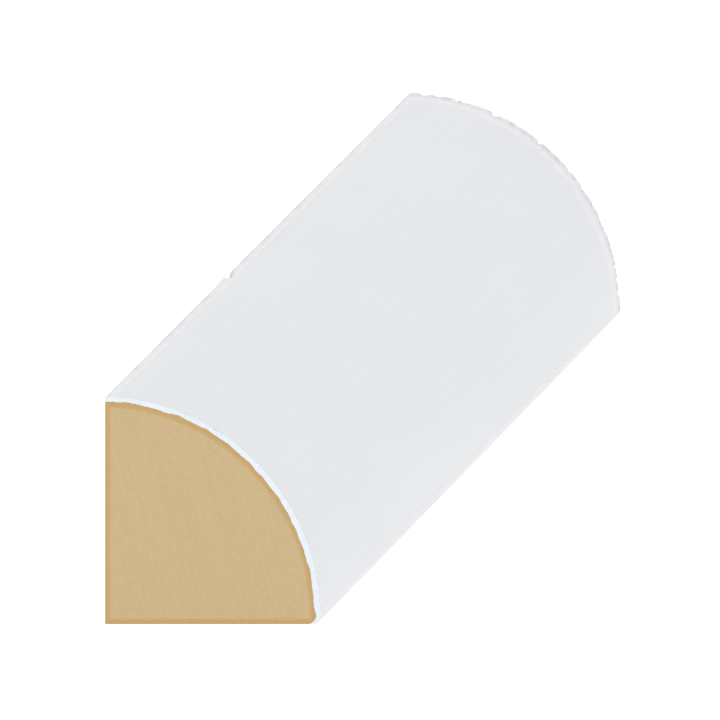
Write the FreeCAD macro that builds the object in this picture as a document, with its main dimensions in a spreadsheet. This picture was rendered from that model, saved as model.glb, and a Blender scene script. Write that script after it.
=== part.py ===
# Quarter round moulding: a short cut of primed fibreboard trim with a quarter circle section.
#
# The section has two flat legs that meet square at the heel. The base lies on the floor and
# the back stands against the wall or skirting. One convex face joins the toe of the base to
# the top of the back. It is a single arc, and its radius is the mean of the two legs. Both
# arrises where the face meets a leg are eased, because sharp fibreboard edges crumble. The
# toe is eased more than the top. The heel stays square, and the ends are plain saw cuts.
#
# Millimetres. X runs from the back to the toe, Y along the stock and Z up. The origin is the
# middle of the base.
import FreeCAD
import Part
import os

import Sketcher

NODE = "quarter_round_moulding"
DIMENSIONS = {
    "base_width": 18.0,
    "back_height": 19.0,
    "toe_radius": 0.6,
    "top_radius": 0.15,
    "stock_length": 36.0,
}
# How a sketch constraint names a point of a line or arc, and the sketch's origin.
START = 1
END = 2
ORIGIN = (-1, START)


def make_dimensions(doc):
    """The driving dimensions, one row each: a name and its value."""
    sheet = doc.addObject("Spreadsheet::Sheet", "dimensions")
    for row, (name, value) in enumerate(DIMENSIONS.items(), start=1):
        sheet.set(f"A{row}", name)
        sheet.set(f"B{row}", str(value))
        sheet.setAlias(f"B{row}", name)
    doc.recompute()
    return sheet


def origin_plane(body, role):
    """One of the body's own base planes."""
    return next(plane for plane in body.Origin.OriginFeatures if plane.Role == role)


def fix(sketch, *constraint):
    """A constraint of the sketch; its index is returned."""
    return sketch.addConstraint(Sketcher.Constraint(*constraint))


def bind(sketch, name, expression, *constraint):
    """A named dimension of the sketch that follows the driving dimensions."""
    index = fix(sketch, *constraint)
    sketch.renameConstraint(index, name)
    sketch.setExpression(f"Constraints.{name}", expression)


def draw_section(body, sheet):
    """The section before its arrises are eased: base, back and the curved face between them."""
    sketch = body.newObject("Sketcher::SketchObject", "section")
    sketch.AttachmentSupport = (origin_plane(body, "XZ_Plane"), "")
    sketch.MapMode = "FlatFace"

    half_base = sheet.base_width / 2
    heel = FreeCAD.Vector(-half_base, 0, 0)
    toe = FreeCAD.Vector(half_base, 0, 0)
    top = FreeCAD.Vector(-half_base, sheet.back_height, 0)
    # A point on the square corner's bisector sets which way the arc bulges.
    radius = (sheet.base_width + sheet.back_height) / 2
    crown = heel + FreeCAD.Vector(1, 1, 0).normalize() * radius

    base = sketch.addGeometry(Part.LineSegment(heel, toe))
    back = sketch.addGeometry(Part.LineSegment(heel, top))
    face = sketch.addGeometry(Part.Arc(toe, crown, top))

    fix(sketch, "Coincident", base, START, back, START)
    fix(sketch, "Coincident", base, END, face, START)
    fix(sketch, "Coincident", back, END, face, END)
    fix(sketch, "Horizontal", base)
    fix(sketch, "Vertical", back)
    # The origin halves the base.
    fix(sketch, "Symmetric", base, START, base, END, *ORIGIN)
    bind(sketch, "base_width", "dimensions.base_width",
         "DistanceX", base, START, base, END, sheet.base_width)
    bind(sketch, "back_height", "dimensions.back_height",
         "DistanceY", back, START, back, END, sheet.back_height)
    bind(sketch, "face_radius", "(dimensions.base_width + dimensions.back_height) / 2",
         "Radius", face, radius)
    return sketch


def run_stock(body, sketch):
    """The section run along Y, as far to each side of the origin."""
    stock = body.newObject("PartDesign::Pad", "stock")
    stock.Profile = sketch
    stock.SideType = "Symmetric"
    stock.setExpression("Length", "dimensions.stock_length")
    return stock


def long_edge(shape, x, z):
    """The name of the edge that runs the length of the stock at (x, z) of its section."""
    # Such an edge has its middle at mid length, where the section's own edges don't come.
    middle = FreeCAD.Vector(x, 0, z)
    edges = enumerate(shape.Edges, start=1)
    number, _ = min(edges, key=lambda item: item[1].CenterOfMass.distanceToPoint(middle))
    return f"Edge{number}"


def ease_arris(body, feature, name, x, z):
    """The feature with a small round along the arris through (x, z) of its section."""
    arris = body.newObject("PartDesign::Fillet", name)
    arris.Base = (feature, [long_edge(feature.Shape, x, z)])
    arris.setExpression("Radius", f"dimensions.{name}_radius")
    return arris


def make_moulding(doc, sheet):
    """The moulding: one piece of fibreboard, machined along its length and sawn to length."""
    body = doc.addObject("PartDesign::Body", NODE)
    body.Label = NODE
    sketch = draw_section(body, sheet)
    doc.recompute()
    stock = run_stock(body, sketch)
    doc.recompute()
    half_base = sheet.base_width / 2
    toe = ease_arris(body, stock, "toe", half_base, 0)
    doc.recompute()
    top = ease_arris(body, toe, "top", -half_base, sheet.back_height)
    body.Tip = top
    doc.recompute()
    return body


def check_document(doc):
    """Stops if any feature failed to build."""
    for item in doc.Objects:
        if {"Invalid", "Error"} & set(item.State):
            raise RuntimeError(f"{item.Label} failed: {item.State}")


def export(body):
    """Writes the piece's solid, once it is known to be sound."""
    shape = body.Shape
    if shape.isNull() or not shape.isValid() or len(shape.Solids) != 1:
        raise RuntimeError(f"{body.Label} is not one sound solid")
    os.makedirs("parts", exist_ok=True)
    shape.exportStep(f"parts/{body.Label}.step")
    box = shape.BoundBox
    print(f"{body.Label}: {box.XLength:.3f} x {box.YLength:.3f} x {box.ZLength:.3f} mm,",
          f"{shape.Volume:.1f} mm3, {len(shape.Faces)} faces")


document = FreeCAD.newDocument("quarter_round")
dimensions = make_dimensions(document)
moulding = make_moulding(document, dimensions)
check_document(document)
export(moulding)
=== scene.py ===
# %% [markdown]
# # A quarter round moulding
#
# The real object is a short cut of trim: fibreboard run through a moulder until its section is
# a quarter circle, sprayed with white primer on the curved face and sawn to length. Nothing is
# fastened to it, so the whole object is one piece with a few finishes.
#
# It could be dressed in two ways. The plain solid of the frame could be kept and painted, or a
# finer mesh could take its place. The finer mesh is the better way here, because the parts of
# a moulding that catch the eye are small shapes: the eased arrises, the cut edge of the primer
# on the sawn end, the crumbs that the saw takes out and a nick in the top arris.

# %% Load the frame
import math
import random

import bmesh
import bpy
from mathutils import Matrix, Vector, noise


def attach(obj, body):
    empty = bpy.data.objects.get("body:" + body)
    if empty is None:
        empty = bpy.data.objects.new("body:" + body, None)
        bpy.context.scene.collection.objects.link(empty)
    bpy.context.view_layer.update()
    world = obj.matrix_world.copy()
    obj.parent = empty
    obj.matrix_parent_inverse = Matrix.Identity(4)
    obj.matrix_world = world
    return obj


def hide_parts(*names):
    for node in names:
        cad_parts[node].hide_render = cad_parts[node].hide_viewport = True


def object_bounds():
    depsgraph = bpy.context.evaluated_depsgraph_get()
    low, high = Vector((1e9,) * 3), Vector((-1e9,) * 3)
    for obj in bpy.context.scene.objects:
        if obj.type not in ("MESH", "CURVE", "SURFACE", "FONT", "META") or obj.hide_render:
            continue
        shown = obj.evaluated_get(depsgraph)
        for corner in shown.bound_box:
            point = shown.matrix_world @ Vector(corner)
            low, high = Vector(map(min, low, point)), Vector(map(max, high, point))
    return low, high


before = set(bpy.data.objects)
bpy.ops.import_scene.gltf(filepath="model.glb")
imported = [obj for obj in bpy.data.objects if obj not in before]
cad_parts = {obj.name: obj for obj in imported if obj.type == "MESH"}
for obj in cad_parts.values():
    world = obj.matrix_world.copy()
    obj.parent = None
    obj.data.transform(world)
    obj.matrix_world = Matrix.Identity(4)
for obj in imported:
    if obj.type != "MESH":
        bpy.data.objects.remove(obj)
cad_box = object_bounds()

MM = 0.001
NODE = "quarter_round_moulding"
print("solid, mm:", [round(side / MM, 3) for side in cad_box[1] - cad_box[0]])

# %% [markdown]
# ## The sizes of the section
#
# A moulder's knife cuts one profile, so one profile describes the whole stock. Two flat legs
# meet at the heel, and an arc joins their ends. Its radius is the mean of the two legs.
#
# Every size could be typed in, but then the mesh would part from the frame as soon as the frame
# changed. So the base and the length are read from the frame, whose origin is the middle of the
# base. The back's height can't be, because its eased top stops a hair short of it.
#
# Under the paint the bare board has an outline of its own, less than half a millimetre inside
# the face and with a rounder toe. The paint wraps over both arrises and ends on the legs.

# %% Name the sizes
BASE_WIDTH = -2 * cad_box[0].x
BACK_HEIGHT = 19 * MM
LENGTH = cad_box[1].y - cad_box[0].y
TOE_ROUND = 0.6 * MM
TOP_ROUND = 0.15 * MM
HEEL_ROUND = 0.08 * MM
COAT_THICKNESS = 0.45 * MM
BOARD_TOE_ROUND = 0.8 * MM

BACK_X = -BASE_WIDTH / 2
FACE_RADIUS = (BASE_WIDTH + BACK_HEIGHT) / 2
BOARD_RADIUS = FACE_RADIUS - COAT_THICKNESS
print("base, length and face radius, mm:",
      [round(size / MM, 3) for size in (BASE_WIDTH, LENGTH, FACE_RADIUS)])

# %% [markdown]
# ## The centres of its arcs
#
# The legs are not equal, so the face's centre is not the heel. It lies on the line that halves
# the chord from toe to top, because every point there is as far from one end as from the other.
#
# The two arrises, where the face meets a leg, are smaller arcs that touch the big one from
# inside. One circle touches another from inside when their centres are as far apart as the
# difference of the radii. That and the leg that it also touches fix each small centre, and it
# is exact for any radius, where rounding a corner of a finished mesh would be exact for none.

# %% Work out the centres
def face_centre():
    """The centre of the arc through the toe and the top, on the heel's side of them."""
    half_chord = math.hypot(BASE_WIDTH, BACK_HEIGHT) / 2
    inward = Vector((-BACK_HEIGHT, 0, -BASE_WIDTH)).normalized()
    return Vector((0, 0, BACK_HEIGHT / 2)) + inward * math.sqrt(FACE_RADIUS**2 - half_chord**2)


def beside(reach, offset):
    """The other short side of a right triangle: how far along, for an offset across."""
    return math.sqrt(reach**2 - offset**2)


def bearing(point, centre):
    """The angle at which a point of the section is seen from a centre, from +X towards +Z."""
    return math.atan2(point.z - centre.z, point.x - centre.x)


def toe_centre(radius, toe_round):
    """The centre of the arc that eases the toe of a face of some radius."""
    return Vector((CENTRE.x + beside(radius - toe_round, toe_round - CENTRE.z), 0, toe_round))


def height_at(x, radius):
    """How high a circle about the face's centre is, at some place along the base."""
    return CENTRE.z + beside(radius, x - CENTRE.x)


CENTRE = face_centre()
TOE_CENTRE = toe_centre(FACE_RADIUS, TOE_ROUND)
TOP_CENTRE = Vector((BACK_X + TOP_ROUND, 0, 0))
TOP_CENTRE.z = height_at(TOP_CENTRE.x, FACE_RADIUS - TOP_ROUND)
HEEL_CENTRE = Vector((BACK_X + HEEL_ROUND, 0, HEEL_ROUND))
FACE_START = bearing(TOE_CENTRE, CENTRE)
FACE_END = bearing(TOP_CENTRE, CENTRE)

BOARD_TOE_CENTRE = toe_centre(BOARD_RADIUS, BOARD_TOE_ROUND)
BOARD_TOE = Vector((BOARD_TOE_CENTRE.x, 0, 0))
BOARD_TOP = Vector((BACK_X, 0, height_at(BACK_X, BOARD_RADIUS)))

print("face's centre from the heel, mm:", round((CENTRE.x - BACK_X) / MM, 3), round(CENTRE.z / MM, 3))

# %% [markdown]
# ## Drawing it by turning a vertex
#
# An arc can be written as a list of points, cut out of a circle, or drawn by one vertex that
# turns about a centre, as a pair of compasses does. Turning is the shortest way to say it, and
# three turns in a row make the toe, the face and the top with no gap between them.

# %% Turn the toe, the face and the top
SECTION_AXIS = (0, -1, 0)
TOE_STEPS = 12
FACE_STEPS = 290
TOP_STEPS = 7
TO_THE_LEFT = math.pi
STRAIGHT_DOWN = -math.pi / 2
NEAR = Vector((0, -LENGTH / 2, 0))


def made_of(kind, geometry):
    """The elements of one kind, out of what an operator returns."""
    return [item for item in geometry if isinstance(item, kind)]


def turn(bm, vertex, centre, start, end, steps):
    """Draws an arc by turning a vertex about a centre. Returns the vertex at its end."""
    made = bmesh.ops.spin(
        bm, geom=[vertex], cent=centre + NEAR, axis=SECTION_AXIS, dvec=(0, 0, 0),
        angle=end - start, steps=steps, use_duplicate=False,
    )
    return made_of(bmesh.types.BMVert, made["geom_last"])[0]


moulding = bmesh.new()
toe_flat = moulding.verts.new(NEAR + Vector((TOE_CENTRE.x, 0, 0)))
toe = turn(moulding, toe_flat, TOE_CENTRE, STRAIGHT_DOWN, FACE_START, TOE_STEPS)
top = turn(moulding, toe, CENTRE, FACE_START, FACE_END, FACE_STEPS)
top_flat = turn(moulding, top, TOP_CENTRE, FACE_END, TO_THE_LEFT, TOP_STEPS)
print("vertices along the curve:", len(moulding.verts))

# %% [markdown]
# ## Closing the outline
#
# Straight lines down the back and along the base close it. They could be two long edges, but
# then the sides would be strips as thin as wires. Short lengths make their faces nearly square.
# The heel, which the knives leave almost sharp, gets a last small turn. Each line also has a
# point where the paint ends.

# %% Draw the back, the heel and the base
LEG_STEPS = 48
HEEL_STEPS = 4


def straight(bm, vertex, place, steps):
    """Draws a straight line from a vertex to a place in the section. Returns its far end."""
    step = (place + NEAR - vertex.co) / steps
    for _ in range(steps):
        start = vertex.co.copy()
        vertex = bmesh.ops.extrude_vert_indiv(bm, verts=[vertex])["verts"][0]
        vertex.co = start + step
    return vertex


board_top = straight(moulding, top_flat, BOARD_TOP, 1)
heel_back = straight(moulding, board_top, Vector((BACK_X, 0, HEEL_CENTRE.z)), LEG_STEPS)
heel_base = turn(moulding, heel_back, HEEL_CENTRE, STRAIGHT_DOWN, 0, HEEL_STEPS)
board_toe = straight(moulding, heel_base, BOARD_TOE, LEG_STEPS)
moulding.edges.new((board_toe, toe_flat))
outline = list(moulding.edges)
print("edges in the outline:", len(outline))

# %% [markdown]
# ## The board under the paint
#
# A sawn end shows what is under the paint. Round the curve runs the cut edge of the primer, a
# pale line a little under half a millimetre wide. Inside it is bare fibreboard.
#
# The line could be a painted mask. A real edge is better, because the border between paint and
# board then stays sharp however close the camera comes. The same compasses draw the board's own
# outline from the base to the back. It is made a little wavy, in long waves with short ones on
# them, because fibreboard drinks the primer unevenly. The noise that makes the waves reaches
# far, and it is read at a place where they lie about as the real ones do.

# %% Draw the board's line
COAT_UNEVEN = 0.165 * MM
UNEVEN_LENGTH = 1.1 * MM
FINE_UNEVEN = 0.25
WAVES_AT = Vector((226, 237, 7))

board_start = bearing(BOARD_TOE_CENTRE, CENTRE)
board_end = bearing(BOARD_TOP, CENTRE)
known = set(moulding.verts)
toe = turn(moulding, board_toe, BOARD_TOE_CENTRE, STRAIGHT_DOWN, board_start, TOE_STEPS)
top = turn(moulding, toe, CENTRE, board_start, board_end, FACE_STEPS)
bmesh.ops.weld_verts(moulding, targetmap={top: board_top})
for vertex in set(moulding.verts) - known:
    place = vertex.co / UNEVEN_LENGTH + WAVES_AT
    wander = noise.noise(place) + FINE_UNEVEN * noise.noise(place / FINE_UNEVEN)
    vertex.co += (vertex.co - NEAR - CENTRE).normalized() * COAT_UNEVEN * wander

line = [edge for edge in moulding.edges if edge not in set(outline)]
print("edges in the board's line:", len(line))

# %% [markdown]
# ## Filling the end
#
# The line parts the end in two, and each part is filled. One face could cover each, but the saw
# will wear the outer rim later, and a single face that is bent at its rim shades badly. So the
# paint is cut into short triangles that can bend, and a narrow border is set into the board to
# keep its middle flat.

# %% Fill the end
END_BORDER = 0.06 * MM
SAME_PLACE = 0.001 * MM
COAT, CUT_EDGE, SAWN, MACHINED = range(4)


def bare(place):
    """True for a place on the base or the back that the paint doesn't reach."""
    on_base = place.z < SAME_PLACE and place.x < BOARD_TOE.x
    on_back = place.x < BACK_X + SAME_PLACE and place.z < BOARD_TOP.z
    at_heel = max(place.x - BACK_X, place.z) < HEEL_ROUND
    return on_base or on_back or at_heel


bare_rim = [edge for edge in outline if bare((edge.verts[0].co + edge.verts[1].co) / 2)]
painted_rim = [edge for edge in outline if edge not in set(bare_rim)]
paint = bmesh.ops.edgeloop_fill(moulding, edges=painted_rim + line, mat_nr=CUT_EDGE)["faces"]
bmesh.ops.triangulate(moulding, faces=paint, ngon_method="BEAUTY")
board = bmesh.ops.edgeloop_fill(moulding, edges=bare_rim + line, mat_nr=SAWN)["faces"]
bmesh.ops.inset_region(moulding, faces=board, thickness=END_BORDER, use_even_offset=True,
                       use_boundary=True)
near_end = list(moulding.faces)
print("faces on the end:", len(near_end))

# %% [markdown]
# ## Running it along the stock
#
# One long extrusion would give the right shape, but the saw's crumbs and the nick need points
# to move. Cutting the whole length finely would waste most of its faces. Spacing the sections
# as the cosine of an evenly growing angle crowds them at both ends, where the saw has been, and
# spreads them between. A few more sections are put in beside the nick.

# %% Space the sections
SECTIONS = 90
NICK_Y = -3.94 * MM
NICK_SECTIONS = 22
NICK_REACH = 0.8 * MM

spread = {-LENGTH / 2 * math.cos(math.pi * i / SECTIONS) for i in range(SECTIONS + 1)}
nick_step = 2 * NICK_REACH / NICK_SECTIONS
at_nick = {NICK_Y - NICK_REACH + nick_step * (i + 0.5) for i in range(NICK_SECTIONS)}
sections = sorted(spread | at_nick)
print("sections:", len(sections), "the first two lie", round((sections[1] - sections[0]) / MM, 3),
      "mm apart")

# %% [markdown]
# ## Closing the far end
#
# The open rim of the near end is extruded from each place to the next. The far end is the same
# saw cut, so it is a copy of the near one, and merging the points that fall together sews it on.
# Which finish a side face gets then follows from where it lies.

# %% Run the outline to the far end
END_NORMAL = 0.5


def run_along(bm, edges, places):
    """Extrudes the outline from each place to the next."""
    for here, there in zip(places, places[1:]):
        made = bmesh.ops.extrude_edge_only(bm, edges=edges)["geom"]
        edges = made_of(bmesh.types.BMEdge, made)
        new = made_of(bmesh.types.BMVert, made)
        bmesh.ops.translate(bm, verts=new, vec=(0, there - here, 0))


run_along(moulding, [edge for edge in moulding.edges if edge.is_boundary], sections)
far_end = bmesh.ops.duplicate(moulding, geom=near_end)["geom"]
bmesh.ops.translate(moulding, verts=made_of(bmesh.types.BMVert, far_end), vec=(0, LENGTH, 0))
bmesh.ops.remove_doubles(moulding, verts=moulding.verts, dist=SAME_PLACE)
bmesh.ops.recalc_face_normals(moulding, faces=moulding.faces)
for face in moulding.faces:
    if abs(face.normal.y) < END_NORMAL:
        face.material_index = MACHINED if bare(face.calc_center_median()) else COAT
print("faces:", len(moulding.faces), "edges without two faces:",
      sum(len(edge.link_faces) != 2 for edge in moulding.edges))
print("volume, cubic mm:", round(moulding.calc_volume(signed=True) / MM**3, 1))

# %% [markdown]
# ## The saw's crumbs
#
# No sawn edge is perfectly sharp. The blade rounds it by a few hundredths of a millimetre and
# pulls out crumbs of paint. There are many at the far end, where it leaves the stock, and
# few and shallow ones at the near end, where it goes in. Where they fall is left to chance,
# because crumbs set by hand soon make a pattern. A seed makes the chance the same each time,
# and this one puts the far end's crumbs about where the real ones are.

# %% Choose the crumbs
NEAR_SIDE, FAR_SIDE = -1, 1
FAR_CRUMBS = 34
NEAR_CRUMBS = 6
FAR_SHARE = 1.0
NEAR_SHARE = 0.3
CRUMB_DEPTH = (0.05 * MM, 0.17 * MM)
CRUMB_WIDTH = (0.14 * MM, 0.5 * MM)
CRUMB_MARGIN = 0.9 * MM
CRUMB_SEED = 8903


def ease(share):
    """A share of the way, held between 0 and 1, that starts and ends gently."""
    share = min(max(share, 0), 1)
    return share * share * (3 - 2 * share)


def crumb_depth(co, from_toe):
    """How deep the crumbs are at a point of the painted face, in metres."""
    from_end = LENGTH / 2 - abs(co.y)
    depth = 0
    for side, place, deep, wide in crumbs:
        if side * co.y > 0:
            depth += deep * ease(1 - math.hypot(from_toe - place, from_end) / wide)
    return depth


face_length = FACE_RADIUS * (FACE_END - FACE_START)
chance = random.Random(CRUMB_SEED)
crumbs = [
    (side, chance.uniform(CRUMB_MARGIN, face_length - CRUMB_MARGIN),
     chance.uniform(*CRUMB_DEPTH) * share, chance.uniform(*CRUMB_WIDTH))
    for side, count, share in ((FAR_SIDE, FAR_CRUMBS, FAR_SHARE),
                               (NEAR_SIDE, NEAR_CRUMBS, NEAR_SHARE))
    for _ in range(count)
]
print("crumbs:", len(crumbs), "along an arc of", round(face_length / MM, 2), "mm")

# %% [markdown]
# ## The nick
#
# One bigger knock has dented the top arris, about two fifths of the way along. It has a long
# side, where something slid in, and a steep one, where it stopped and pushed up a small lip.
# A boolean could cut it, but that leaves a clean wedge, and this is a bruise. So it is a depth
# that grows and fades with the distance from its middle, and the lip is a smaller one below 0.

# %% Shape the nick
NICK_DEPTH = 0.42 * MM
NICK_STEEP_SIDE = 0.17 * MM
NICK_LONG_SIDE = 0.66 * MM
NICK_WIDTH = 0.7 * MM
LIP_HEIGHT = 0.06 * MM
LIP_REACH = 0.3 * MM


def nick_depth(co, from_toe):
    """How deep the nick is at a point of the painted face, in metres. Its lip is below 0."""
    reach = NICK_STEEP_SIDE if co.y < NICK_Y else NICK_LONG_SIDE
    from_top = (face_length - from_toe) / NICK_WIDTH
    dent = ease(1 - math.hypot((co.y - NICK_Y) / reach, from_top))
    lip = ease(1 - math.hypot((co.y - NICK_Y + LIP_REACH) / LIP_REACH, from_top))
    return NICK_DEPTH * dent - LIP_HEIGHT * lip


print("nick, mm from the near end:", round((NICK_Y + LENGTH / 2) / MM, 2))

# %% [markdown]
# ## Wearing it away
#
# The rounding, the crumbs and the nick are all the same act: material is gone, so the surface
# has moved in. Each vertex moves in along its own normal, by what the saw and the knock took
# there. The lip comes out instead, but no further than the planes of the back and of the top of
# the face. All moves are worked out before the first is made, so that none changes another.

# %% Wear the edges and nick the top arris
SAWN_EDGE = 0.02 * MM
EDGE_REACH = 0.1 * MM
FACE_TOP = cad_box[1].z


def wear(vertex):
    """How far a vertex moves in, in metres, for the finishes of the faces round it."""
    kinds = {face.material_index for face in vertex.link_faces}
    if not kinds & {COAT, MACHINED}:
        return 0
    depth = SAWN_EDGE * ease(1 - (LENGTH / 2 - abs(vertex.co.y)) / EDGE_REACH)
    if COAT in kinds:
        from_toe = FACE_RADIUS * (bearing(vertex.co, CENTRE) - FACE_START)
        depth += crumb_depth(vertex.co, from_toe) + nick_depth(vertex.co, from_toe)
    return depth


moulding.normal_update()
moves = {vertex: vertex.normal * wear(vertex) for vertex in moulding.verts}
for vertex, move in moves.items():
    vertex.co -= move
    vertex.co.x = max(vertex.co.x, BACK_X)
    vertex.co.z = min(vertex.co.z, FACE_TOP)
print("deepest wear, mm:", round(max(move.length for move in moves.values()) / MM, 3))

# %% [markdown]
# ## The finished mesh
#
# The piece is smooth along its curve and flat at the saw cuts, and the edge between them is sharp. It
# then takes the place of the plain solid and rides on the one body.

# %% Make the piece
SHARP_ANGLE = math.radians(28)

for face in moulding.faces:
    face.smooth = face.material_index in (COAT, MACHINED)
for edge in moulding.edges:
    edge.smooth = edge.calc_face_angle(0) < SHARP_ANGLE

mesh = bpy.data.meshes.new("moulding")
moulding.to_mesh(mesh)
moulding.free()
piece = bpy.data.objects.new("moulding", mesh)
bpy.context.scene.collection.objects.link(piece)
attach(piece, "root")
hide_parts(NODE)
print("triangles:", sum(len(polygon.vertices) - 2 for polygon in mesh.polygons))

# %% [markdown]
# ## The primer
#
# Sprayed primer is a flat white with a little grey in it and a soft shine. A finish is a small
# net of nodes round one shader. Made by hand in the editor, such a net is quick to try and hard
# to read later. Made in code it is the other way round, so a few helpers with plain names keep
# the code short: each adds a node and feeds it with numbers or with what other nodes make.
#
# What is the same all over the paint, such as how much it reflects, is set on the shader. What
# varies is fed to it by the nodes of the next steps.

# %% Start the primer
PRIMER_SHINE = 0.35


def feed(tree, socket, value):
    """Links what a node makes to a socket. Any other value is set on the socket itself."""
    if isinstance(value, bpy.types.NodeSocket):
        tree.links.new(value, socket)
    else:
        socket.default_value = value


def wire(tree, node, **values):
    """Feeds the inputs of a node, by name with _ for a space. Returns the node."""
    for name, value in values.items():
        feed(tree, node.inputs[name.replace("_", " ")], value)
    return node


def add(tree, kind, **values):
    """A new node with some of its inputs fed."""
    return wire(tree, tree.nodes.new(kind), **values)


def new_finish(name, shine):
    """A material with the standard shader. Returns it, its node tree and the shader."""
    material = bpy.data.materials.new(name)
    material.use_nodes = True
    shader = material.node_tree.nodes["Principled BSDF"]
    wire(material.node_tree, shader, Specular_IOR_Level=shine)
    return material, material.node_tree, shader


primer, tree, shader = new_finish("primer", PRIMER_SHINE)
print(primer.name, "starts with:", [node.name for node in tree.nodes])

# %% [markdown]
# ## What the paint shows from near
#
# The coat isn't even. It lies in faint lines along the stock, where the knife left ridges, it
# has the soft dimples that paint sprayers call orange peel, and single fibres stand up under it
# as fine specks. Its tone also drifts slowly, as the gun passed over it.
#
# One noise of many sizes could stand for all of that, but then every mark would have the same
# shape. Each cause gets a noise of its own instead. Every pattern is worked out in millimetres
# from the object's own coordinates, so that it stays put when the piece moves.

# %% Scatter the primer's marks
MIDDLE = 0.5
RIDGE_STRETCH = (1, 0.03, 1)
RIDGES_PER_MM = 2.6
DRIFTS_PER_MM = 0.16
SPECKS_PER_MM = 7.0
DIMPLES_PER_MM = 1.3
SOFT_DETAIL, FINE_DETAIL = 1.0, 3.0


def in_mm(tree, stretch=(1, 1, 1), angle=0.0):
    """The object's own coordinates in millimetres, turned about Y and then stretched."""
    place = tree.nodes.new("ShaderNodeTexCoord").outputs["Object"]
    turned = add(tree, "ShaderNodeMapping", Vector=place, Rotation=(0, angle, 0)).outputs["Vector"]
    scale = [side / MM for side in stretch]
    return add(tree, "ShaderNodeMapping", Vector=turned, Scale=scale).outputs["Vector"]


def grain(tree, place, per_mm=1.0, detail=2.0, roughness=0.5):
    """Soft random values about the middle of 0 and 1."""
    return add(tree, "ShaderNodeTexNoise", Vector=place, Scale=per_mm, Detail=detail,
               Roughness=roughness).outputs["Fac"]


place = in_mm(tree)
ridges = grain(tree, in_mm(tree, RIDGE_STRETCH), RIDGES_PER_MM, FINE_DETAIL)
drift = grain(tree, place, DRIFTS_PER_MM, SOFT_DETAIL)
specks = grain(tree, place, SPECKS_PER_MM, SOFT_DETAIL)
peel = grain(tree, place, DIMPLES_PER_MM)
print("mm from ridge to ridge, drift to drift, speck to speck and dimple to dimple:",
      [round(1 / per_mm, 2) for per_mm in (RIDGES_PER_MM, DRIFTS_PER_MM, SPECKS_PER_MM,
                                           DIMPLES_PER_MM)])

# %% [markdown]
# ## Its tone and its surface
#
# The same noises tint the paint and raise its surface. A ridge is also tinted paler, a painted
# highlight added to the light that its bump catches, while the slow drift and the specks are the
# paint's own tone. The tone moves by less than three hundredths, so the two colours that are mixed
# are close. The ridges and dimples are about a hundredth of a millimetre high, and the specks less
# than half of that.
#
# A Mix node has sockets for numbers, vectors and colours, and all go by the same names. So its
# sockets for colours are picked by their number.

# %% Tint and dimple the primer
PRIMER_DARK = (0.704, 0.711, 0.725)
PRIMER_LIGHT = (0.730, 0.737, 0.751)
PRIMER_SHARES = (0.5, 0.5, 0.35)
PRIMER_TONES = (0.45, 0.9)
PEEL_RANGE = (0.3, 0.7)
PRIMER_ROUGHNESS = (0.42, 0.52)
PEEL_DEPTH, RIDGE_DEPTH, SPECK_DEPTH = 0.014, 0.010, 0.004
MIX_SHARE, MIX_FIRST, MIX_SECOND = 0, 6, 7
MIXED_COLOUR = 2


def maths(tree, operation, *values):
    """What one operation makes of its values."""
    made = tree.nodes.new("ShaderNodeMath")
    made.operation = operation
    for socket, value in zip(made.inputs, values):
        feed(tree, socket, value)
    return made.outputs["Value"]


def total(tree, values, shares):
    """Values added up, each times its own share."""
    result = 0.0
    for value, share in zip(values, shares):
        result = maths(tree, "MULTIPLY_ADD", value, share, result)
    return result


def between(tree, value, start, end, at_start=0.0, at_end=1.0):
    """A value stretched from one range to another and held there. A range may also run down."""
    return add(tree, "ShaderNodeMapRange", Value=value, From_Min=start, From_Max=end,
               To_Min=at_start, To_Max=at_end).outputs["Result"]


def blend(tree, share, first, second, how="MIX"):
    """Two colours mixed by a share."""
    made = tree.nodes.new("ShaderNodeMix")
    made.data_type = "RGBA"
    made.blend_type = how
    feed(tree, made.inputs[MIX_SHARE], share)
    for index, colour in ((MIX_FIRST, first), (MIX_SECOND, second)):
        feed(tree, made.inputs[index], (*colour, 1) if isinstance(colour, tuple) else colour)
    return made.outputs[MIXED_COLOUR]


def relief(tree, height, depth, below=None):
    """A bump of a depth in millimetres, on top of another bump if there is one."""
    made = add(tree, "ShaderNodeBump", Height=height, Distance=depth * MM)
    if below is not None:
        feed(tree, made.inputs["Normal"], below)
    return made.outputs["Normal"]


# The ridges are tinted paler as well as raised: a painted highlight on them.
tone = total(tree, (ridges, drift, specks), PRIMER_SHARES)
skin_and_ridge_highlights = blend(tree, between(tree, tone, *PRIMER_TONES), PRIMER_DARK, PRIMER_LIGHT)
surface = relief(tree, ridges, RIDGE_DEPTH, relief(tree, peel, PEEL_DEPTH))
wire(tree, shader, Normal=relief(tree, specks, SPECK_DEPTH, surface),
     Roughness=between(tree, peel, *PEEL_RANGE, *PRIMER_ROUGHNESS))
print(primer.name, "nodes:", len(tree.nodes))

# %% [markdown]
# ## Painted shade on the edges and a painted highlight beside them
#
# The coat is painted a little grey on the arrises, which is painted shade, and whiter a little over
# half a millimetre in, which is a painted highlight where an eased arris catches the light. The far
# saw cut gets the same two painted bands.
#
# The edges could be found by a pointiness or bevel node, but those follow the mesh and not the bands.
# Each of these edges lies in a plane: that of the back, of the base or of the far cut. So how near a
# point is to one takes a subtraction at most, and the smallest of the three distances drives both
# tones. A noise breaks them into patches, and where the painted highlight is weak, the painted shade
# is stronger.

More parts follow.
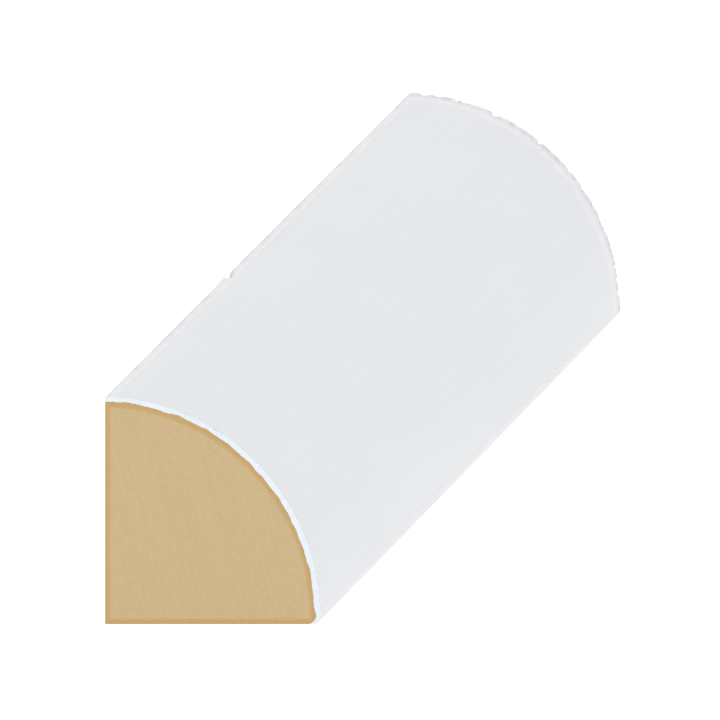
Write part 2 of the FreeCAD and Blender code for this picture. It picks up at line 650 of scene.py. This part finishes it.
# %% Paint shade on the primer's edges and a highlight beside them
# Painted shade on the arrises and a painted highlight beside them, mixed into the primer's colour.
PRIMER_EDGE_SHADE = (0.665, 0.655, 0.690)
PRIMER_EDGE_HIGHLIGHT = (0.776, 0.766, 0.804)
EDGE_SHADE_FADES = (0.46, 0.22)
HIGHLIGHT_STARTS = (0.4, 0.6)
HIGHLIGHT_FADES = (0.96, 0.66)
EDGE_WANDER = 0.5
PATCHES_PER_MM = 1.2
EDGE_SHADE_PATCHES = (0.52, 0.40)
HIGHLIGHT_PATCHES = (0.35, 0.6)
HIGHLIGHT_STRENGTH = (0.3, 1.0)

point = add(tree, "ShaderNodeSeparateXYZ", Vector=place).outputs
from_back = maths(tree, "SUBTRACT", point["X"], BACK_X / MM)
from_far_end = maths(tree, "SUBTRACT", LENGTH / 2 / MM, point["Y"])
from_edge = maths(tree, "MINIMUM", maths(tree, "MINIMUM", from_back, point["Z"]), from_far_end)
wander = maths(tree, "SUBTRACT", peel, MIDDLE)
from_edge = maths(tree, "MULTIPLY_ADD", wander, EDGE_WANDER, from_edge)

patches = grain(tree, place, PATCHES_PER_MM)
# The painted highlight, a little in from each edge.
painted_highlight = maths(tree, "MULTIPLY", between(tree, from_edge, *HIGHLIGHT_STARTS),
                 between(tree, from_edge, *HIGHLIGHT_FADES))
painted_highlight = maths(tree, "MULTIPLY", painted_highlight,
                 between(tree, patches, *HIGHLIGHT_PATCHES, *HIGHLIGHT_STRENGTH))
# The painted shade, right on each edge.
painted_edge_shade = maths(tree, "MULTIPLY", between(tree, from_edge, *EDGE_SHADE_FADES),
                   between(tree, patches, *EDGE_SHADE_PATCHES))
colour = blend(tree, painted_edge_shade, blend(tree, painted_highlight, skin_and_ridge_highlights, PRIMER_EDGE_HIGHLIGHT), PRIMER_EDGE_SHADE)
print(primer.name, "nodes:", len(tree.nodes))

# %% [markdown]
# ## Painted shade where the blade comes out
#
# At the far cut the blade leaves the stock upwards, through the paint, and the teeth of paint that it
# leaves between the crumbs are painted with grey spots, which are painted shade of the broken rim.
# The distance from the far end is already there, so one more noise, with sharp limits, is all that
# the spots need.

# %% Paint shade on the far rim
# Painted shade on the teeth of paint between the crumbs at the far cut.
CRUMB_SHADE = (0.605, 0.595, 0.640)
CRUMB_SHADE_SPOTS_PER_MM = 1.9
CRUMB_SHADE_PATCHES = (0.51, 0.59)
CRUMB_SHADE_FADES = (0.42, 0.2)

crumb_shade = between(tree, grain(tree, place, CRUMB_SHADE_SPOTS_PER_MM), *CRUMB_SHADE_PATCHES)
crumb_shade = maths(tree, "MULTIPLY", crumb_shade, between(tree, from_far_end, *CRUMB_SHADE_FADES))
wire(tree, shader, Base_Color=blend(tree, crumb_shade, colour, CRUMB_SHADE))
print(primer.name, "nodes:", len(tree.nodes))

# %% [markdown]
# ## The primer's cut edge
#
# Where the saw has broken the paint it is dry and chalky inside, paler than its own skin and
# without any shine. It is the same paint, but its look is so unlike the skin's that a finish of
# its own is simpler than a mask in the first one.

# %% Make the cut edge
CHALK_DARK = (0.731, 0.786, 0.855)
CHALK_LIGHT = (0.774, 0.830, 0.897)
CHALK_SHINE = 0.1
CHALK_ROUGHNESS = 0.95
CRUMBLES_PER_MM = 3.2
CRUMBLE_RANGE = (0.35, 0.65)
CRUMBLE_DEPTH = 0.03

chalk, tree, shader = new_finish("primer_cut_edge", CHALK_SHINE)
crumble = grain(tree, in_mm(tree), CRUMBLES_PER_MM, FINE_DETAIL)
colour = blend(tree, between(tree, crumble, *CRUMBLE_RANGE), CHALK_DARK, CHALK_LIGHT)
wire(tree, shader, Base_Color=colour, Roughness=CHALK_ROUGHNESS,
     Normal=relief(tree, crumble, CRUMBLE_DEPTH))
print(chalk.name, "nodes:", len(tree.nodes))

# %% [markdown]
# ## The sawn fibreboard
#
# Fibreboard is wood that was steamed, ground to wool and pressed with glue. A saw cut through
# it has no rings or pores. It shows short matted fibres that lie every way, a little lighter or
# darker than the tan round them, and the faint, almost straight strokes of the blade.
#
# A noise that is stretched one way draws fibres, but they all lie alike. Three of them, turned
# against each other, make the mat. Picking the strongest at each point keeps every direction
# sharp, where adding them would blur all three.

# %% Saw the fibreboard
TAN_DARK = (0.544, 0.398, 0.214)
TAN_LIGHT = (0.614, 0.456, 0.256)
SAWN_SHINE = 0.15
SAWN_ROUGHNESS = 0.92
SAWN_SHARES = (0.55, 0.3, 0.25)
SAWN_TONES = (0.45, 0.81)
SAWN_DEPTH = 0.05
MAT_SIZE = (5.2, 1.1)
MAT_TURNS = (0.25, 1.3, 2.35)
FIBRE_ROUGHNESS = 0.6
WOOL_PER_MM = 9.0
WOOL_ROUGHNESS = 0.65
STROKE_STRETCH = (3.4, 1, 0.05)
STROKE_TURN = 0.28


def matted(tree, size, turns, detail):
    """Random fibres that lie several ways in the section. The strongest shows at each point."""
    across, along = size
    strongest = 0.0
    for angle in turns:
        fibres = grain(tree, in_mm(tree, (across, across, along), angle), detail=detail,
                       roughness=FIBRE_ROUGHNESS)
        strongest = maths(tree, "MAXIMUM", strongest, fibres)
    return strongest


sawn, tree, shader = new_finish("sawn_fibreboard", SAWN_SHINE)
place = in_mm(tree)
mat = matted(tree, MAT_SIZE, MAT_TURNS, FINE_DETAIL)
wool = grain(tree, place, WOOL_PER_MM, FINE_DETAIL, WOOL_ROUGHNESS)
strokes = grain(tree, in_mm(tree, STROKE_STRETCH, STROKE_TURN))
tone = total(tree, (mat, wool, strokes), SAWN_SHARES)
tan = blend(tree, between(tree, tone, *SAWN_TONES), TAN_DARK, TAN_LIGHT)
wire(tree, shader, Normal=relief(tree, tone, SAWN_DEPTH), Roughness=SAWN_ROUGHNESS)
print(sawn.name, "nodes:", len(tree.nodes))

# %% [markdown]
# ## Hairs and bark
#
# The blade tears single fibres loose, which stand out as pale hairs, and a few dark shreds of
# bark always find their way into the board. Both are rare, so the same matted noise is used
# again, finer, and only its very highest values count. Where it has one, there is a hair or a
# shred.

# %% Tear out the hairs and scatter the bark
HAIR = (0.72, 0.565, 0.35)
HAIR_SIZE = (12.0, 1.7)
HAIR_TURNS = (0.6, 1.7, 2.8)
HAIR_RANGE = (0.66, 0.76)
HAIR_STRENGTH = (0.0, 0.6)
BARK = (0.44, 0.30, 0.15)
BARK_SIZE = (6.0, 2.2)
BARK_TURNS = (0.8, 2.1)
BARK_RANGE = (0.745, 0.79)

hairs = between(tree, matted(tree, HAIR_SIZE, HAIR_TURNS, SOFT_DETAIL), *HAIR_RANGE, *HAIR_STRENGTH)
bark = between(tree, matted(tree, BARK_SIZE, BARK_TURNS, SOFT_DETAIL), *BARK_RANGE)
tan = blend(tree, bark, blend(tree, hairs, tan, HAIR), BARK)
print(sawn.name, "nodes:", len(tree.nodes))

# %% [markdown]
# ## Its burnished border
#
# The outer few tenths of a millimetre of a saw cut are rubbed darker, because fibres at an edge
# are pressed down and scorched by the blade. The section is made of two straight lines and an
# arc, so how near a point is to its edge can again be worked out from its coordinates: its
# height over the base, how far it is from the back and how far from the arc's centre. The
# nearest of the three counts. The border's colour multiplies the tan, so that the fibres show
# through it.

# %% Darken the border
BORDER_WIDTH = 0.42
BORDER_SOFTNESS = 0.12
BORDER_WANDER = 0.3
BURNISHED = (0.93, 0.835, 0.635)


def under_face(tree):
    """How far a point of the section lies in from the face's arc, in millimetres."""
    made = tree.nodes.new("ShaderNodeVectorMath")
    made.operation = "DISTANCE"
    for socket, value in zip(made.inputs, (in_mm(tree, stretch=(1, 0, 1)), CENTRE / MM)):
        feed(tree, socket, value)
    return maths(tree, "SUBTRACT", FACE_RADIUS / MM, made.outputs["Value"])


point = add(tree, "ShaderNodeSeparateXYZ", Vector=place).outputs
from_back = maths(tree, "SUBTRACT", point["X"], BACK_X / MM)
from_coat = maths(tree, "SUBTRACT", under_face(tree), COAT_THICKNESS / MM)
nearest = maths(tree, "MINIMUM", maths(tree, "MINIMUM", from_coat, point["Z"]), from_back)
wander = maths(tree, "SUBTRACT", wool, MIDDLE)
nearest = maths(tree, "MULTIPLY_ADD", wander, BORDER_WANDER, nearest)
burnish = between(tree, nearest, BORDER_WIDTH + BORDER_SOFTNESS, BORDER_WIDTH - BORDER_SOFTNESS)
wire(tree, shader, Base_Color=blend(tree, burnish, tan, BURNISHED, "MULTIPLY"))
print(sawn.name, "nodes:", len(tree.nodes))

# %% [markdown]
# ## The machined legs
#
# The base and the back were cut by knives and not by a saw, so their fibres are smeared flat
# and lie along the stock, and the board is a little browner there. Each turn of the cutter
# leaves a shallow hollow across the stock, a little over a millimetre from the last.
#
# The hollows could be modelled, but they are a few thousandths deep, and bump is what such a
# thing is for: a sine of the place along the stock. A slow noise weakens it here and there, as
# on real stock, because a pattern that never changes looks printed.

# %% Press the cutter's hollows
MACHINED_SHINE = 0.25
MACHINED_ROUGHNESS = 0.75
KNIFE_PITCH = 1.4
KNIFE_DEPTH = 0.006
WEAKER_PER_MM = 0.3
WEAKER_RANGE = (0.35, 0.6)

machined, tree, shader = new_finish("machined_fibreboard", MACHINED_SHINE)
place = in_mm(tree)
along = add(tree, "ShaderNodeSeparateXYZ", Vector=place).outputs["Y"]
hollows = maths(tree, "SINE", maths(tree, "MULTIPLY", along, math.tau / KNIFE_PITCH))
strength = between(tree, grain(tree, place, WEAKER_PER_MM), *WEAKER_RANGE)
hollows = maths(tree, "MULTIPLY", hollows, strength)
print("hollows along the stock:", round(LENGTH / MM / KNIFE_PITCH))

# %% [markdown]
# ## Their smeared fibres
#
# Two noises drawn out along the stock make the fibres: a broad, weak one for the smears and a
# fine one for single fibres, whose highest values are pale hairs again and whose lowest are
# shreds of bark. A third, which isn't drawn out, is the wool between them. Without it the
# board looks like solid wood, and with too much smear it looks like cloth.

# %% Smear the fibres
BOARD_DARK = (0.50, 0.36, 0.195)
BOARD_LIGHT = (0.60, 0.445, 0.25)
BOARD_SHARES = (0.16, 0.4, 0.44, 0.02)
BOARD_TONES = (0.38, 0.64)
SMEAR_STRETCH = (3.6, 0.5, 3.6)
FIBRE_STRETCH = (11, 1.1, 11)
FIBRE_DEPTH = 0.015
SPECKLE_PER_MM = 7.0
LOOSE_RANGE = (0.66, 0.78)
LOOSE_STRENGTH = (0.0, 0.5)
SHRED_RANGE = (0.34, 0.25)
SHRED_STRENGTH = (0.0, 0.4)

smears = grain(tree, in_mm(tree, SMEAR_STRETCH), detail=FINE_DETAIL, roughness=FIBRE_ROUGHNESS)
fibres = grain(tree, in_mm(tree, FIBRE_STRETCH), detail=FINE_DETAIL, roughness=FIBRE_ROUGHNESS)
speckle = grain(tree, place, SPECKLE_PER_MM, FINE_DETAIL, FIBRE_ROUGHNESS)
tone = total(tree, (smears, fibres, speckle, hollows), BOARD_SHARES)
board = blend(tree, between(tree, tone, *BOARD_TONES), BOARD_DARK, BOARD_LIGHT)
board = blend(tree, between(tree, fibres, *LOOSE_RANGE, *LOOSE_STRENGTH), board, HAIR)
board = blend(tree, between(tree, fibres, *SHRED_RANGE, *SHRED_STRENGTH), board, BARK)
wire(tree, shader, Roughness=MACHINED_ROUGHNESS,
     Normal=relief(tree, fibres, FIBRE_DEPTH, relief(tree, hollows, KNIFE_DEPTH)))
print(machined.name, "nodes:", len(tree.nodes))

# %% [markdown]
# ## Mist from the spray gun
#
# The gun was aimed at the face, but its mist drifts past both arrises and settles on the legs
# in dots, close together beside the paint and far apart further in. Fading one colour into the
# other would look like fog. A fine noise compared with the distance makes dots that thin out.

# %% Let the mist settle
MIST_REACH = 0.66
MIST_START = 0.5
MIST_RANGE = (1.0, 1.1)
DOTS_PER_MM = 8.0

spray = maths(tree, "DIVIDE", MIST_REACH, maths(tree, "ADD", under_face(tree), MIST_START))
dots = maths(tree, "ADD", grain(tree, place, DOTS_PER_MM), spray)
cover = between(tree, dots, *MIST_RANGE)
wire(tree, shader, Base_Color=blend(tree, cover, board, PRIMER_LIGHT))
print(machined.name, "nodes:", len(tree.nodes))

# %% [markdown]
# ## Putting the finishes on
#
# Each face already carries the number of its finish. The order here is the order of those
# numbers: coat, cut edge, sawn, machined.

# %% Put the finishes on the piece
for finish in (primer, chalk, sawn, machined):
    mesh.materials.append(finish)
print("finishes:", [finish.name for finish in mesh.materials])

# %% [markdown]
# ## The room and the table
#
# The moulding lies on a white table in an even white room, which is how a part is shown in a
# trade catalogue: the table burns out to pure white, and the object's own colours are left. A
# plain white world lights it from every side alike.
#
# A table of white paper would take on the tan of the sawn end beside it, and a shadow. A light
# table hardly does, because most of its white is its own glow. Catalogue studios use one for
# the same reason. It lies a hair under the base, so that the two never share a plane.

# %% Build the room and the table
ROOM_LIGHT = 1.0
TABLE_SIZE = 3.0
TABLE_DROP = 0.02 * MM
TABLE_GLOW = 0.9
WHITE = (1, 1, 1, 1)
OPAL = (0.3, 0.3, 0.3, 1)
OPAL_SHINE = 0.0
OPAL_ROUGHNESS = 1.0

world = bpy.data.worlds.new("white_room")
world.use_nodes = True
wire(world.node_tree, world.node_tree.nodes["Background"], Color=WHITE, Strength=ROOM_LIGHT)
bpy.context.scene.world = world

table = bmesh.new()
bmesh.ops.create_grid(table, x_segments=1, y_segments=1, size=TABLE_SIZE / 2)
bmesh.ops.translate(table, verts=table.verts, vec=(0, 0, -TABLE_DROP))
table_mesh = bpy.data.meshes.new("table")
table.to_mesh(table_mesh)
table.free()
table_top = bpy.data.objects.new("table", table_mesh)
bpy.context.scene.collection.objects.link(table_top)

opal, tree, shader = new_finish("opal_glass", OPAL_SHINE)
wire(tree, shader, Base_Color=OPAL, Roughness=OPAL_ROUGHNESS, Emission_Color=WHITE,
     Emission_Strength=TABLE_GLOW)
table_mesh.materials.append(opal)
print("table, m:", TABLE_SIZE, "square, mm under the base:", round(TABLE_DROP / MM, 3))

# %% [markdown]
# ## The lamp
#
# The white table lights the lower part of the face more than the room lights the rest, so a
# large soft lamp hangs overhead and makes up for it. Were it smaller, its light would be
# harder, and the face would show a band.

# %% Hang the lamp
LAMP_PLACE = Vector((-0.05, 0.15, 0.7))
LAMP_SIZE = 0.6
LAMP_POWER = 0.62

lamp_data = bpy.data.lights.new("overhead", "AREA")
lamp_data.size = LAMP_SIZE
lamp_data.energy = LAMP_POWER
lamp = bpy.data.objects.new("overhead", lamp_data)
lamp.location = LAMP_PLACE
lamp.rotation_euler = (-LAMP_PLACE).to_track_quat("-Z", "Y").to_euler()
bpy.context.scene.collection.objects.link(lamp)
print("lamp, m from the moulding:", round(LAMP_PLACE.length, 2))

# %% [markdown]
# ## The camera
#
# The picture was drawn and not photographed. The sawn end faces the viewer square on, and yet
# the stock runs back up to the right at 45 degrees, hardly getting smaller. No ordinary camera
# sees that: to look along the stock from the side is to see the end turned away.
#
# A view camera does it by sliding its film sideways. The same is done here with a skewed
# camera. Its picture plane stays parallel to the sawn end, and its rays come in along a slanted
# line. A very long lens keeps the far end almost as big as the near one. An empty carries the
# camera, and the slant is in the matrix between the two, so taking the camera off the empty
# gives an ordinary camera again.
#
# Three facts set the camera: how many pixels a millimetre of the sawn end covers, and where the
# heel and the far top corner of the stock land. The slant is found by correcting a first guess
# until the far corner lands on its pixel.

# %% Find the slant
PICTURE = 720
PIXELS_PER_METRE = 12.0 / MM
HEEL_PIXEL = Vector((104.8, 624.4))
FAR_TOP_PIXEL = Vector((408.9, 92.5))
LENS = 1500.0
ROUNDS = 8

camera_data = bpy.data.cameras.new("camera")
camera_data.lens = LENS
focal = LENS / camera_data.sensor_width * PICTURE
distance = focal / PIXELS_PER_METRE
middle = Vector((PICTURE / 2, PICTURE / 2))
near_top = Vector((HEEL_PIXEL.x, HEEL_PIXEL.y - BACK_HEIGHT * PIXELS_PER_METRE))

run = Vector((-LENGTH, LENGTH, -LENGTH))
for _ in range(ROUNDS):
    pixel_size = (distance + run.length) / focal
    run.x = (near_top.x - middle.x) / PIXELS_PER_METRE - (FAR_TOP_PIXEL.x - middle.x) * pixel_size
    run.z = (FAR_TOP_PIXEL.y - middle.y) * pixel_size - (near_top.y - middle.y) / PIXELS_PER_METRE
ray = run.normalized()
print("slant of the view, mm over the stock's length:", [round(side / MM, 2) for side in run])

# %% [markdown]
# ## Standing it up
#
# The camera looks through the middle of the picture, so the point of the near end's plane that
# lands there is found from the heel's pixel, and the camera stands back from it along the slant.

# %% Set up the skewed camera
aim = Vector((BACK_X, -LENGTH / 2, 0))
aim += Vector((middle.x - HEEL_PIXEL.x, 0, HEEL_PIXEL.y - middle.y)) / PIXELS_PER_METRE
stand = aim - ray * distance
camera = bpy.data.objects.new("camera", camera_data)
carrier = bpy.data.objects.new("camera_carrier", None)
camera.parent = carrier
camera.matrix_parent_inverse = Matrix((
    (1, 0, -ray.x, stand.x),
    (0, 0, -ray.y, stand.y),
    (0, 1, -ray.z, stand.z),
    (0, 0, 0, 1),
))
for thing in (carrier, camera):
    bpy.context.scene.collection.objects.link(thing)
bpy.context.scene.camera = camera
bpy.context.scene.view_settings.view_transform = "Standard"
print("the camera stands at, m:", [round(side, 2) for side in stand])
